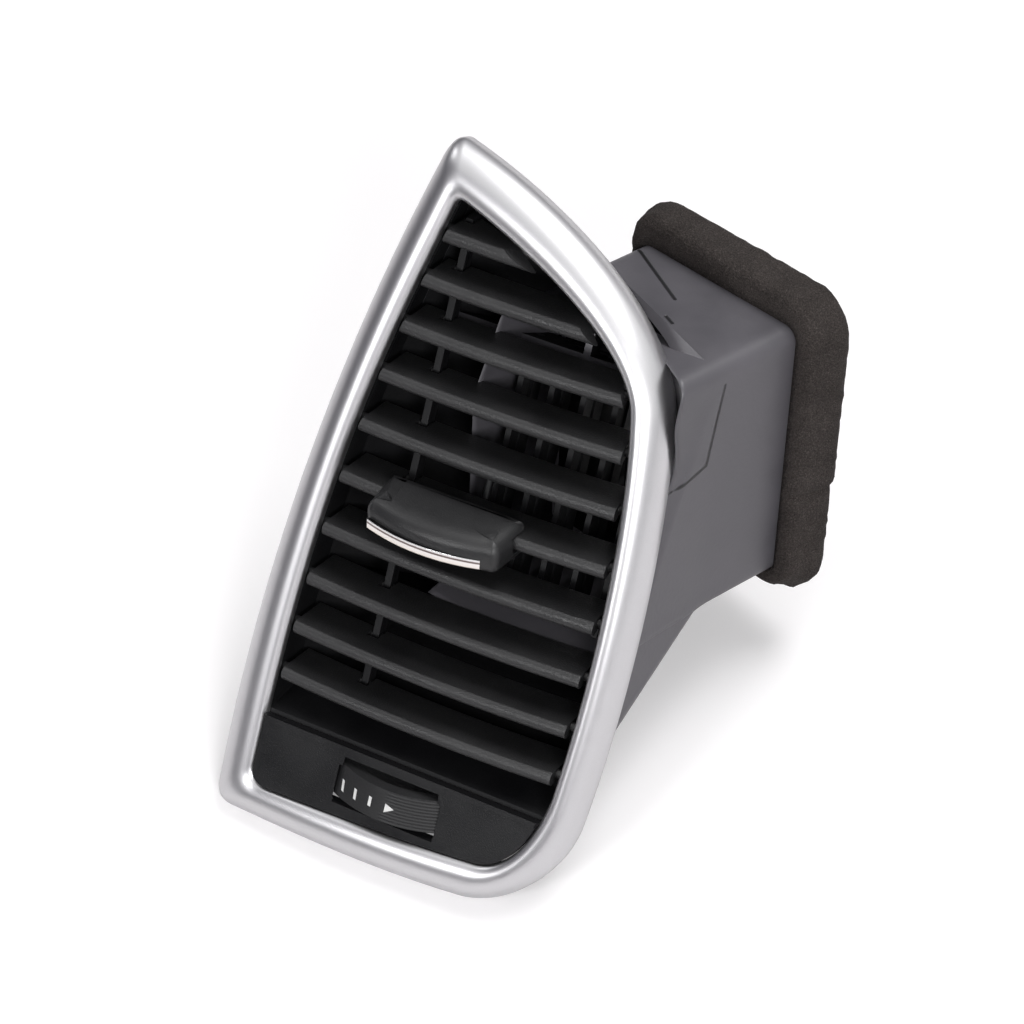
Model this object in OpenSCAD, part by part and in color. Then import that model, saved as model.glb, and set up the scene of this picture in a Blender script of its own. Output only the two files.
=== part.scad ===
// Dashboard side air vent: a sail-shaped bezel, ten linked slats with a sliding knob,
// vertical vanes, a thumbwheel and a pair of shut-off flaps in a rectangular duct.
// Origin: middle of the duct's rear opening. X right, Y back along the duct, Z up.

/* [Face] */
// Turn of the face about the vertical, right end further back
yaw = 17.5; // [10:0.5:22]
// Lean of the face, top further back
lean = 22; // [16:0.5:26]
// Distance from the middle of the face back to the duct's rear opening
reach = 88; // [84:1:120]
// Sideways offset of the duct from the middle of the face
duct_side = 7; // [4:0.5:9]
// Height of the duct above the middle of the face
duct_rise = 12.5; // [8:0.5:15]
// Width of the opening in the bezel
opening_w = 87.5; // [80:0.5:96]
// Height of the opening in the bezel
opening_h = 168; // [160:0.5:176]
// Width of the bezel band where it is narrow
band_w = 8; // [6.5:0.25:10]
// Depth of the bezel from its crest to its back rim
bezel_depth = 10.5; // [9.5:0.25:13]
// Wall of the bezel shell
bezel_wall = 1.8; // [1.2:0.1:2.4]

/* [Slats] */
// Spacing of the slats in the middle of the face
slat_pitch = 14.3; // [13.8:0.1:14.6]
// Depth of a slat from front to back
slat_chord = 14; // [12.5:0.1:14.5]
// Thickness of a slat's rounded nose
slat_nose = 4; // [3:0.1:4.4]
// Thickness of a slat's back edge
slat_tail = 1.5; // [1.2:0.1:2]
// Radius of the slats' bow in plan
bow_r = 520; // [400:10:900]
// Gap between a slat's end and the frame
slat_gap = 1.6; // [1.2:0.1:2.2]
// Diameter of the slats' pivot pins
slat_pin_d = 2.4; // [1.8:0.1:2.8]
// Clearance round every turning pin, on the radius
run_gap = 0.06; // [0.03:0.01:0.1]

/* [Knob] */
// Width of the sliding knob
knob_w = 42.5; // [36:0.5:48]
// Distance from the middle of the face to the middle of the knob
knob_u = -9.5; // [-12:0.5:-7]
// How far the knob stands in front of its slat
knob_front = 11; // [8:0.5:13]
// Radius of the knob's front in plan
knob_front_r = 51; // [40:1:90]
// Height of the bright strip
trim_h = 2.8; // [2:0.1:3.4]

/* [Vanes] */
// Number of vertical vanes
vane_count = 5; // [4:1:5]
// Spacing of the vanes
vane_pitch = 9.2; // [8.4:0.1:9.4]
// Depth of a vane from front to back
vane_chord = 11.5; // [10:0.5:12]
// Thickness of a vane
vane_t = 1.6; // [1.2:0.1:2]
// Height of a vane along its pivot
vane_h = 72; // [64:1:74]

/* [Duct] */
// Outer width of the duct
duct_w = 56; // [52:1:62]
// Outer height of the duct
duct_h = 76; // [72:1:80]
// Wall of the duct
duct_wall = 2; // [1.6:0.1:2.4]
// Radius of the duct's long edges
duct_edge_r = 4; // [3:0.5:6]
// Thickness of the foam seal
foam_t = 9; // [6:0.5:11]
// Width of the foam seal along the duct
foam_w = 13; // [10:0.5:16]

/* [Thumbwheel] */
// Radius of the thumbwheel's rim
wheel_r = 34; // [30:0.5:36]
// Height of the thumbwheel's rim
wheel_h = 8.2; // [7:0.1:9]
// Width of the window in the lower panel
window_w = 31; // [27:0.5:33]
// Height of the window in the lower panel
window_h = 9.4; // [9:0.1:10.4]
// Turn of the thumbwheel to either side
wheel_turn = 38; // [30:1:40]
// Radius of the cranks that join the thumbwheel to the flaps
crank_r = 10; // [8:0.5:11]

/* [Hidden] */
$fn = 48;
ARC_FN = 720;
EPS = 0.01;
TOUCH = 0.02;

silver = [0.78, 0.78, 0.79];
charcoal = [0.17, 0.17, 0.18];
satin_black = [0.10, 0.10, 0.11];
duct_grey = [0.36, 0.35, 0.37];
foam_brown = [0.27, 0.24, 0.22];
steel = [0.62, 0.63, 0.65];

// Frames
tan_lean = tan(lean);
cos_lean = cos(lean);
sin_lean = sin(lean);

// Face frame: u right along the slats, v back, w up
module face() translate([-duct_side, -reach, -duct_rise]) rotate([0, 0, yaw]) children();

// Leaning frame: u right, n square to the face and back, t up the face
module leaning() face() rotate([-lean, 0, 0]) children();

// A flat outline in (u, t) that is carried from depth n0 to depth n1
module through_face(n0, n1) leaning() translate([0, n1, 0]) rotate([90, 0, 0])
    linear_extrude(n1 - n0) children();

// A flat outline in (u, w) that is carried level from v0 to v1
module level_back(v0, v1) face() translate([0, v1, 0]) rotate([90, 0, 0])
    linear_extrude(v1 - v0) children();

// Everything between two planes that lean with the face
module lean_slab(n0, n1) leaning() translate([-200, n0, -250]) cube([400, n1 - n0, 500]);

// A place in the face frame, seen from the duct's frame
function face_x(u, v) = u * cos(yaw) - v * sin(yaw) - duct_side;
function face_y(u, v) = u * sin(yaw) + v * cos(yaw) - reach;

// Outlines of the bezel, as cubic curves from point to point
fit_u = opening_w / 87.5;
fit_t = opening_h / 168;
SEG = 12;

function cubic(a, b, c, d, s) =
    pow(1 - s, 3) * a + 3 * s * pow(1 - s, 2) * b + 3 * s * s * (1 - s) * c + pow(s, 3) * d;
function trace(curves, grow_u = 0) = [for (c = curves, k = [0 : SEG - 1])
    let (p = cubic(c[0], c[1], c[2], c[3], k / SEG)) [p[0] * fit_u + grow_u * sign(p[0]), p[1] * fit_t]];

opening_curves = [
    [[-27.5, 82], [-36, 48], [-48.8, 5], [-48.6, -80]],
    [[-48.6, -80], [-48.8, -83.5], [-47, -85.2], [-43.5, -85.2]],
    [[-43.5, -85.2], [-20, -85], [2, -84.5], [20, -82.5]],
    [[20, -82.5], [29, -81.5], [34.5, -71], [36.6, -58]],
    [[36.6, -58], [39.6, -24], [39, 20], [32, 46.5]],
    [[32, 46.5], [27, 60], [2, 74], [-24.5, 82.7]],
    [[-24.5, 82.7], [-25.8, 83.1], [-27, 83], [-27.5, 82]]];
rim_curves = [
    [[-36, 91.5], [-47, 54], [-62, -12], [-61.3, -90]],
    [[-61.3, -90], [-61.5, -94.5], [-59.5, -96.3], [-56, -96.3]],
    [[-56, -96.3], [-30, -96.4], [-6, -96.4], [14, -94.6]],
    [[14, -94.6], [28, -94.5], [41, -81], [43.4, -66]],
    [[43.4, -66], [47.5, -30], [47, 12], [41.5, 44]],
    [[41.5, 44], [37.5, 68], [4, 88], [-30, 97.3]],
    [[-30, 97.3], [-33, 98.3], [-34.8, 96], [-36, 91.5]]];
opening_pts = trace(opening_curves);
rim_pts = trace(rim_curves, band_w - 8);
PTS = len(opening_pts);

// The outline moved outward by d along its own normals
function outward(p, i) = let (a = p[(i + PTS - 1) % PTS], b = p[(i + 1) % PTS], d = b - a)
    [d[1], -d[0]] / norm(d);
function moved_out(p, d) = [for (i = [0 : PTS - 1]) p[i] + d * outward(p, i)];

// Sideways limits of the opening at height t up the face
left_table = [for (i = [0 : SEG]) [opening_pts[i][1], opening_pts[i][0]]];
right_table = [for (i = [3 * SEG : 6 * SEG]) [opening_pts[i][1], opening_pts[i][0]]];
function opening_left(t) = lookup(t, left_table);
function opening_right(t) = lookup(t, right_table);

// The face is a shallow dome
DOME_U = 540;
DOME_T = 2900;
function dome(p) = pow(p[0] + 4, 2) / (2 * DOME_U) + pow(p[1], 2) / (2 * DOME_T);

// Depths behind the face plane
frame_front = 3.9;
frame_back = 15;
frame_wall = 1.8;
frame_gap = 0.2;
flange_n = 6.4;
flange_t = 1.6;
flange_share = 0.66;

// Lower edge of the slats' window and the panel below it
ledge_t = -65.4;
floor_t = -67.6;

// Bezel section: share of the band from opening to rim, depth behind the dome, and least depth behind the face plane
crest = -2.1;
rim_n = 4.0;
lip_n = 3.7;
back_n = crest + bezel_depth;
shell = bezel_wall;
inner_share = 0.14;
FREE = -10;
function bezel_section() = [
    [0, 1.0, lip_n], [0, 0.6, FREE], [0.03, -0.5, FREE], [0.10, -1.4, FREE], [0.22, crest + 0.15, FREE],
    [0.36, crest, FREE], [0.52, crest + 0.35, FREE], [0.68, crest + 1.3, FREE], [0.82, crest + 2.7, FREE],
    [0.93, crest + 4.5, FREE], [0.985, rim_n, FREE], [1, rim_n + 1.2, FREE], [1, back_n, FREE],
    [1 - inner_share, back_n, FREE], [1 - inner_share, rim_n + shell, FREE], [0.66, crest + 1.3 + shell, FREE],
    [0.36, crest + shell, FREE], [0.2, crest + 0.4 + shell, FREE], [inner_share, 0.4, FREE], [inner_share, 1.0, lip_n]];

module ring_loft(inner, outer, section) {
    m = len(section);
    pts = [for (i = [0 : PTS - 1], s = section)
        let (p = inner[i] + (outer[i] - inner[i]) * s[0]) [p[0], max(s[1] + dome(p), s[2]), p[1]]];
    faces = [for (i = [0 : PTS - 1], j = [0 : m - 1])
        let (i2 = (i + 1) % PTS, j2 = (j + 1) % m)
        [i * m + j, i2 * m + j, i2 * m + j2, i * m + j2]];
    polyhedron(pts, faces, convexity = 6);
}

// Screws from behind into bosses in the bezel's hollow back, by place along the outline and share of the band
screw_places = [[4, 0.5], [9, 0.5], [2.5 * SEG, 0.5], [3.6 * SEG, 0.48], [1, 0.5]];
bezel_boss_r = 2.3;
bezel_screw_r = 1.1;
function band_place(s) = let (i = floor(s[0])) opening_pts[i] + (rim_pts[i] - opening_pts[i]) * s[1];
boss_sink = 0.6;
tip_sink = 0.8;
head_r = 2.4;
head_t = 1.6;
// A round bar at each place, from depth a to depth b; deep counts a from the dome
module at_places(places, r, a, b, deep = false) for (s = places) let (p = band_place(s), n = a + (deep ? dome(p) : 0))
    translate([p[0], n, p[1]]) rotate([-90, 0, 0]) cylinder(r = r, h = b - n);

module bezel() color(silver) leaning() difference() {
    union() {
        ring_loft(opening_pts, rim_pts, bezel_section());
        at_places(screw_places, bezel_boss_r, -boss_sink, flange_n, true);
    }
    at_places(screw_places, bezel_screw_r + TOUCH, tip_sink, flange_n + 20, true);
}
module bezel_screws() color(steel) leaning() {
    at_places(screw_places, bezel_screw_r, tip_sink + 0.3, flange_n + flange_t + 0.3, true);
    at_places(screw_places, head_r, flange_n + flange_t + 0.05, flange_n + flange_t + 0.05 + head_t);
}

// Slat places: index 1 at the top, 6 carries the knob
slat_set = 1.2;
pitch_taper = 0.27;
pivot_v = 6;
pivot_w = slat_nose / 2 - 0.1;
crank_v = 12.4;
crank_w = 1.2;
link_u = -26.4;
link_t = 2;
function slat_k(i) = 6 - i;
function slat_w(i) = slat_k(i) * (slat_pitch - pitch_taper * abs(slat_k(i)));
function slat_v(i) = slat_set + slat_w(i) * tan_lean;
function slat_t(i) = slat_w(i) / cos_lean;
function slat_left(i) = opening_left(slat_t(i)) + slat_gap;
function slat_right_front(i) = opening_right(slat_t(i) + 3) - slat_gap - 0.4;
function slat_right_back(i) = opening_right(slat_t(i) + 12) - slat_gap - 1.4;

module at_slat(i) face() translate([0, slat_v(i), slat_w(i)]) children();

// A bar along u at (v, w), from u0 to u1
module bar_u(u0, u1, v, w, r) translate([u0, v, w]) rotate([0, 90, 0]) cylinder(h = u1 - u0, r = r);

function arc(cx, cy, r, a0, a1, n) = [for (k = [0 : n])
    let (a = a0 + (a1 - a0) * k / n) [cx + r * cos(a), cy + r * sin(a)]];

// Section of a slat: round nose, thin tail
function slat_section(grow = 0) = concat(
    arc(slat_nose / 2, slat_nose / 2, slat_nose / 2 + grow, 270, 95, 10),
    arc(slat_chord - slat_tail / 2, slat_nose / 2 - 0.4, slat_tail / 2 + grow, 80, -90, 6));

module slat_blade() translate([-4, bow_r, 0]) rotate([0, 0, -97])
    rotate_extrude(angle = 14, $fn = ARC_FN)
        polygon([for (p = slat_section()) [bow_r - p[0], p[1]]]);

// The top slats' slanted ends keep clear of the opening when they tilt
slat_swing = 2.4;
module slat_limit(i) translate([0, 60 - slat_v(i), -slat_w(i) - slat_swing]) rotate([90, 0, 0])
    linear_extrude(100) opening_2d(-1);

notch_w = link_t + 1.6;
module slat(i) color(charcoal) at_slat(i) difference() {
    union() {
        intersection() {
            slat_blade();
            translate([0, 0, -2]) linear_extrude(slat_nose + 4) polygon([
                [slat_left(i), -3], [slat_right_front(i), -3], [slat_right_front(i), 2],
                [slat_right_back(i), slat_chord], [slat_right_back(i), slat_chord + 4],
                [slat_left(i), slat_chord + 4]]);
            slat_limit(i);
        }
        bar_u(opening_left(slat_t(i)) - frame_gap - frame_wall, slat_left(i) + 2, pivot_v, pivot_w, slat_pin_d / 2);
        bar_u(min(slat_right_back(i), slat_right_front(i)) - 1, opening_right((slat_w(i) + pivot_w) / cos_lean) + frame_gap + frame_wall,
            pivot_v, pivot_w, slat_pin_d / 2);
    }
    difference() {
        translate([link_u - notch_w / 2, crank_v - 3.2, -3]) cube([notch_w, 9, slat_nose + 6]);
        bar_u(link_u - notch_w, link_u + notch_w, crank_v, crank_w, 1);
    }
}

// Tie bar that joins the slats' crank pins
module slat_link() color(satin_black) face() difference() {
    translate([link_u - link_t / 2, 0, 0]) rotate([90, 0, 90]) linear_extrude(link_t) polygon(concat(
        [for (i = [1 : 10]) [slat_v(i) + crank_v - 1.9, slat_w(i) + crank_w]],
        [[slat_v(10) + crank_v - 1.9, slat_w(10) + crank_w - 2.2], [slat_v(10) + crank_v + 2.1, slat_w(10) + crank_w - 2.2]],
        [for (i = [10 : -1 : 1]) [slat_v(i) + crank_v + 2.1, slat_w(i) + crank_w]],
        [[slat_v(1) + crank_v + 2.1, slat_w(1) + crank_w + 2.2], [slat_v(1) + crank_v - 1.9, slat_w(1) + crank_w + 2.2]]));
    for (i = [1 : 10])
        bar_u(link_u - link_t, link_u + link_t, slat_v(i) + crank_v, slat_w(i) + crank_w, 1 + run_gap);
}

// Frame round the slats, drawn level so that its walls follow the slats' ends
module opening_2d(d) scale([1, cos_lean]) polygon(moved_out(opening_pts, d));
module above_2d(t) translate([-100, t * cos_lean]) square([200, 300]);

// Lugs behind the flange for the dashboard's fixing screws
lug_places = [[6, 0.47], [11, 0.47], [33, 0.47]];
lug_r = 3.8;
lug_t = 3;
lug_bore_r = 2.2;

module front_frame() color(satin_black) difference() {
    union() {
        leaning() at_places(lug_places, lug_r, flange_n + flange_t - EPS, flange_n + flange_t + lug_t);
        intersection() {
            level_back(-60, 70) difference() {
                intersection() { opening_2d(frame_gap + frame_wall); above_2d(floor_t); }
                intersection() { opening_2d(frame_gap); above_2d(floor_t + frame_wall); }
            }
            lean_slab(frame_front, frame_back);
        }
        intersection() {
            lean_slab(flange_n, flange_n + flange_t);
            through_face(flange_n - 1, flange_n + flange_t + 1) difference() {
                polygon(moved_out([for (i = [0 : PTS - 1]) opening_pts[i] + (rim_pts[i] - opening_pts[i]) * flange_share], 0));
                polygon(moved_out(opening_pts, frame_gap + 0.4));
            }
        }
    }
    leaning() at_places(screw_places, bezel_screw_r + 0.3, flange_n - 1, flange_n + flange_t + 1);
    leaning() at_places(lug_places, lug_bore_r, flange_n - 1, flange_n + flange_t + lug_t + 1);
    for (i = [1 : 10]) at_slat(i) {
        bar_u(opening_left(slat_t(i)) - 8, slat_left(i), pivot_v, pivot_w, slat_pin_d / 2 + run_gap);
        bar_u(slat_right_back(i), opening_right((slat_w(i) + pivot_w) / cos_lean) + 14, pivot_v, pivot_w, slat_pin_d / 2 + run_gap);
    }
}

// Panel below the slats with the thumbwheel's window
panel_n = 1.0;
panel_t = 2.4;
window_u = -8.3;
window_t = -75.5;
module lower_panel() color(satin_black) difference() {
    union() {
        through_face(panel_n, panel_n + panel_t) intersection() {
            polygon(moved_out(opening_pts, -0.15));
            translate([-100, -120]) square([200, 120 + ledge_t]);
        }
        through_face(panel_n - 0.6, panel_n + 2) intersection() {
            polygon(moved_out(opening_pts, -0.4));
            translate([-100, ledge_t - 1.5]) square([200, 1.5]);
        }
    }
    through_face(-5, 10) translate([window_u - window_w / 2, window_t - window_h / 2]) square([window_w, window_h]);
    at_wheel() translate([0, 0, -2]) cylinder(r1 = wheel_r + wheel_gap + (wheel_h / 2 + 2) * tan_lean,
        r2 = wheel_r + wheel_gap - (wheel_h / 2 + 2) * tan_lean, h = wheel_h + 4);
}

// Thumbwheel: a toothless sector on a hub, its rim tapered to lie along the leaning panel
wheel_w = (window_t) * cos_lean - wheel_h / 2 + 0.2;
wheel_proud = 2.6;
wheel_gap = 0.5;
wheel_face_v = window_t * sin_lean + panel_n * cos_lean - wheel_proud;
wheel_v = wheel_face_v + wheel_r;
wheel_half = 66;
hub_r = 5;
wheel_pin_r = 1.6;
arm_t = 2;
arm_sink = 1;
module at_wheel() face() translate([window_u, wheel_v, wheel_w]) children();
module sector(r, h, half) rotate([0, 0, -90 - half]) rotate_extrude(angle = 2 * half, $fn = 180) square([r, h]);

wheel_top = wheel_w + wheel_h;
hub_x = face_x(window_u, wheel_v);
hub_y = face_y(window_u, wheel_v);
hub_z = wheel_w - duct_rise;

module thumbwheel() color(satin_black) difference() {
    union() {
        at_wheel() intersection() {
            rotate([0, 0, -90 - wheel_half]) rotate_extrude(angle = 2 * wheel_half, $fn = 360)
                polygon([[wheel_r - 2.6, 0], [wheel_r + wheel_h / 2 * tan_lean, 0], [wheel_r - wheel_h / 2 * tan_lean, wheel_h], [wheel_r - 4.4, wheel_h]]);
            cylinder(r = wheel_r + 6, h = wheel_h);
        }
        at_wheel() translate([0, 0, 3]) sector(wheel_r - 2.8, 2, wheel_half);
        at_wheel() cylinder(r = hub_r + 0.6, h = wheel_h);
        // crank arm, square to the rod
        translate([hub_x, hub_y, hub_z + wheel_h - arm_sink]) crank_arm(arm_t + arm_sink, 1, rod_t + 0.8);
    }
    at_wheel() translate([0, 0, -1]) cylinder(r = wheel_pin_r + run_gap, h = wheel_h + arm_t + 3);
}

// Crank with its pin, pointing to -X; the pin stands up for dir 1 and hangs down for dir -1
pin_r = 1.4;
module crank_arm(t, dir, pin_h) {
    cylinder(r = hub_r, h = t);
    translate([-crank_r, 0, 0]) cylinder(r = 2.6, h = t);
    translate([-crank_r, -2.6, 0]) cube([crank_r, 5.2, t]);
    translate([-crank_r, 0, dir > 0 ? t - EPS : -pin_h]) cylinder(r = pin_r, h = pin_h + EPS);
}

// Flaps: two leaves on upright shafts that come out below the duct's floor
flap_gap = 0.6;
flap_y = -24;
inner_w = duct_w - 2 * duct_wall;
inner_h = duct_h - 2 * duct_wall;
flap_x = inner_w / 4;
flap_t = 2;
flap_rest = wheel_turn;
flap_half = flap_x - flap_gap;
shaft_r = 2;
// The shafts end in blind bores in the duct's roof
shaft_top = inner_h / 2 + 1.1;
shaft_end_gap = 0.1;
lever_t = 3;
lever_z = -duct_h / 2 - 0.4 - lever_t;
tie_t = 2;
tie_w = 5.6;
tie_z = lever_z - 0.3 - tie_t;

module at_flap(side) translate([side * flap_x, flap_y, 0]) children();
module flap(side) color(satin_black) at_flap(side) {
    rotate([0, 0, flap_rest]) translate([-flap_t / 2, -flap_half, -inner_h / 2 + flap_gap])
        cube([flap_t, 2 * flap_half, inner_h - 2 * flap_gap]);
    translate([0, 0, -inner_h / 2 + flap_gap]) cylinder(r = shaft_r + 1, h = inner_h - 2 * flap_gap);
    translate([0, 0, lever_z]) cylinder(r = shaft_r, h = shaft_top - lever_z);
}

// Levers keyed on the shafts, and the tie that joins their pins; the left pin also takes the rod
module flap_lever(side) color(satin_black) at_flap(side) translate([0, 0, lever_z]) difference() {
    crank_arm(lever_t, -1, side < 0 ? tie_t + rod_t + 1 : tie_t + 0.7);
    translate([0, 0, -1]) cylinder(r = shaft_r + TOUCH, h = lever_t + 2);
}
module flap_link() color(satin_black) translate([-crank_r, flap_y, tie_z]) difference() {
    union() {
        for (side = [-1, 1]) translate([side * flap_x, 0, 0]) cylinder(r = tie_w / 2, h = tie_t);
        translate([-flap_x, -tie_w / 2, 0]) cube([2 * flap_x, tie_w, tie_t]);
    }
    for (side = [-1, 1]) translate([side * flap_x, 0, -1]) cylinder(r = pin_r + run_gap, h = tie_t + 2);
}

// Rod from the thumbwheel's crank to the left lever's pin
rod_w = 6;
rod_t = 2.4;
rod_x0 = hub_x - crank_r;
rod_z0 = hub_z + wheel_h + arm_t + 0.3;
rod_x1 = -flap_x - crank_r;
rod_z1 = tie_z - 0.3 - rod_t;
rod_run = [rod_x1 - rod_x0, flap_y - hub_y, rod_z1 - rod_z0];
rod_turn = atan2(rod_run[0], rod_run[1]);
rod_flat = norm([rod_run[0], rod_run[1]]);
rod_rise = atan2(rod_run[2], rod_flat - 2 * rod_w);
module damper_rod() color(satin_black) translate([rod_x0, hub_y, rod_z0]) rotate([0, 0, -rod_turn]) difference() {
    union() {
        cylinder(r = rod_w / 2, h = rod_t);
        translate([-rod_w / 2, 0, 0]) cube([rod_w, rod_w, rod_t]);
        translate([0, rod_flat, rod_run[2]]) cylinder(r = rod_w / 2, h = rod_t);
        translate([-rod_w / 2, rod_flat - rod_w, rod_run[2]]) cube([rod_w, rod_w, rod_t]);
        translate([-rod_w / 2, 0, 0]) rotate([90, 0, 90]) linear_extrude(rod_w) polygon([
            [rod_w - 1, 0], [rod_w, 0], [rod_flat - rod_w, rod_run[2]], [rod_flat - rod_w + 1, rod_run[2]],
            [rod_flat - rod_w + 1, rod_run[2] + rod_t], [rod_flat - rod_w, rod_run[2] + rod_t], [rod_w, rod_t], [rod_w - 1, rod_t]]);
    }
    translate([0, 0, -1]) cylinder(r = pin_r + run_gap, h = rod_t + 2);
    translate([0, rod_flat, rod_run[2] - 1]) cylinder(r = pin_r + run_gap, h = rod_t + 2);
}

// Duct and funnel
joint_y = -38;
spigot = 4;
module rounded_2d(w, h, r) {
    square([w - 2 * r, h], center = true);
    square([w, h - 2 * r], center = true);
    for (sx = [-1, 1], sz = [-1, 1]) translate([sx * (w / 2 - r), sz * (h / 2 - r)]) circle(r = r);
}
module duct_run(y0, y1) translate([0, y1, 0]) rotate([90, 0, 0]) linear_extrude(y1 - y0) children();

module rear_duct() color(duct_grey) difference() {
    union() {
        duct_run(joint_y, 0) rounded_2d(duct_w, duct_h, duct_edge_r);
        duct_run(joint_y - spigot, joint_y + 1) rounded_2d(duct_w - 2 * duct_wall - 0.2, duct_h - 2 * duct_wall - 0.2, duct_edge_r - duct_wall);
    }
    duct_run(joint_y + 1, 1) rounded_2d(inner_w, inner_h, duct_edge_r - duct_wall);
    duct_run(joint_y - spigot - 1, joint_y + 2) rounded_2d(inner_w - 3.2, inner_h - 3.2, 1);
    for (side = [-1, 1]) at_flap(side) translate([0, 0, -duct_h]) cylinder(r = shaft_r + run_gap, h = duct_h + shaft_top + shaft_end_gap);
}

// Funnel from the frame to the duct; the duct's walls run on forward to the frame's flange
neck = 2;
box_front = back_n + 2.8;
module mouth_slab(n, d, low) through_face(n, n + 0.4) translate([0, n * tan_lean]) intersection() {
    polygon(moved_out(opening_pts, d));
    translate([-100, low]) square([200, 300]);
}
module funnel_solid(d, low, w, h, ends) hull() {
    mouth_slab(frame_back - ends, d, low);
    duct_run(joint_y - neck - 0.4, joint_y - neck + ends) rounded_2d(w, h, duct_edge_r);
}
module duct_forward(w, h, r, y1) duct_run(-90, y1) rounded_2d(w, h, r);
module frame_prism(d) level_back(-80, 90) intersection() { opening_2d(d); above_2d(floor_t - 0.1); }
rail_t = 2.4;
vane_n = 26;
vane_mid_t = 12;
// The knob's fork reaches over to the first vane
fork_side = 2.5;
vane_u0 = knob_u + fork_side;
function vane_u(i) = vane_u0 + (i - 1) * vane_pitch;
vane_lo = vane_mid_t - vane_h / 2;
vane_hi = vane_mid_t + vane_h / 2;
vane_pin_r = 1.2;
// Two rails from wall to wall, and a strut that carries the upper one
strut_u = 8;
module vane_rails() leaning() {
    for (t = [vane_lo - 0.3 - rail_t, vane_hi + 0.3]) translate([-60, vane_n - 5, t]) cube([120, 10, rail_t]);
    translate([strut_u, vane_n - 5, vane_hi + 0.3]) cube([duct_wall, 6, 40]);
}

module air_funnel() color(duct_grey) difference() {
    union() {
        intersection() {
            funnel_solid(frame_gap + frame_wall, floor_t, duct_w, duct_h, 0);
            lean_slab(frame_back + 0.05, 300);
        }
        intersection() {
            duct_forward(duct_w, duct_h, duct_edge_r, joint_y - 0.3);
            lean_slab(box_front, 300);
        }
        at_wheel() translate([0, 0, wheel_h + arm_t + 0.3]) cylinder(r = boss_r, h = boss_h);
    }
    difference() {
        union() {
            funnel_solid(frame_gap, floor_t + frame_wall, inner_w, inner_h, 0.3);
            intersection() {
                duct_forward(inner_w, inner_h, duct_edge_r - duct_wall, joint_y + 1);
                lean_slab(box_front + duct_wall, 300);
            }
        }
        vane_rails();
    }
    intersection() {
        frame_prism(frame_gap + frame_wall + 0.1);
        lean_slab(0, frame_back + 0.05);
    }
    duct_run(joint_y - spigot - 0.3, joint_y + 2) difference() {
        rounded_2d(inner_w - TOUCH, inner_h - TOUCH, duct_edge_r - duct_wall);
        rounded_2d(inner_w - 3.8, inner_h - 3.8, 1);
    }
    at_wheel() translate([0, 0, wheel_h]) cylinder(r = wheel_pin_r + TOUCH, h = screw_in + arm_t + 0.3);
    leaning() for (i = [1 : vane_count]) translate([vane_u(i), vane_n, vane_lo - 6])
        cylinder(r = vane_pin_r + run_gap, h = vane_h + 12);
}
// Boss below the funnel's floor that takes the thumbwheel's screw
boss_r = 4;
boss_h = 16;
screw_in = 8;

module wheel_screw() color(steel) at_wheel() {
    translate([0, 0, -2]) cylinder(r = 3.4, h = 1.8);
    translate([0, 0, -0.3]) cylinder(r = wheel_pin_r, h = wheel_h + arm_t + 0.5 + screw_in - 0.4);
}

// Vanes
vane_crank = 4.4;
vane_pin_t = 3.4;
drive_arm = 10;
drive_r = 1.1;
drive_lo = -6;
drive_hi = 13;
module vane(i) color(satin_black) leaning() translate([vane_u(i), vane_n, 0]) {
    difference() {
        translate([-vane_t / 2, -vane_chord / 2, vane_lo]) cube([vane_t, vane_chord, vane_h]);
        translate([-vane_t, 1, vane_lo - 1]) cube([2 * vane_t, vane_chord, vane_pin_t + 1]);
    }
    translate([0, 0, vane_lo - 0.3 - rail_t]) cylinder(r = vane_pin_r, h = vane_h + 0.6 + 2 * rail_t);
    translate([0, vane_crank, vane_lo]) cylinder(r = 0.9, h = vane_pin_t + 1);
    translate([-vane_t / 2, vane_crank - 0.9, vane_lo + vane_pin_t]) cube([vane_t, 1.8, 2]);
    if (i == 1) {
        translate([0, -drive_arm, drive_lo]) cylinder(r = drive_r, h = drive_hi - drive_lo);
        for (t = [drive_lo, drive_hi - 1.6]) translate([-vane_t / 2, -drive_arm, t]) cube([vane_t, drive_arm - 4, 1.6]);
    }
}
module vane_link() color(satin_black) leaning() translate([0, vane_n + vane_crank, vane_lo + 0.7]) difference() {
    translate([vane_u(1) - 3, -1.8, 0]) cube([vane_u(vane_count) - vane_u(1) + 6, 3.6, 1.8]);
    for (i = [1 : vane_count]) translate([vane_u(i), 0, -1]) cylinder(r = 0.9 + run_gap, h = 4);
}

// Knob
knob_top = 6.6;
knob_low = -3.4;
knob_back = 7;
knob_low_back = 3.4;
knob_draft = 2.2;
slot_gap = 0.3;
trim_t = 1.2;
function knob_side() = concat(
    [[knob_low_back, 0], [knob_low_back, knob_low + 1], [knob_low_back - 1, knob_low]],
    arc(-knob_front + 2, knob_low + 2, 2, 270, 180, 5),
    arc(-knob_front + 2.6, knob_top - 5.4, 2.6, 180, 100, 6),
    arc(knob_back - 1.6, knob_top - 1.6, 1.6, 100, 0, 5),
    [[knob_back, slat_nose]]);
module knob_plan() intersection() {
    translate([0, knob_front_r - knob_front]) circle(r = knob_front_r, $fn = 360);
    polygon([[-knob_w / 2 + 1, knob_back], [-knob_w / 2, knob_back - 2], [-knob_w / 2 + knob_draft - 0.4, -knob_front + 4],
        [-knob_w / 2 + knob_draft + 2, -knob_front - 1], [knob_w / 2 - knob_draft - 2, -knob_front - 1],
        [knob_w / 2 - knob_draft + 0.4, -knob_front + 4], [knob_w / 2, knob_back - 2], [knob_w / 2 - 1, knob_back]]);
}
module at_knob() at_slat(6) translate([knob_u, 0, 0]) children();
trim_w = knob_low + 1.6;
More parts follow.
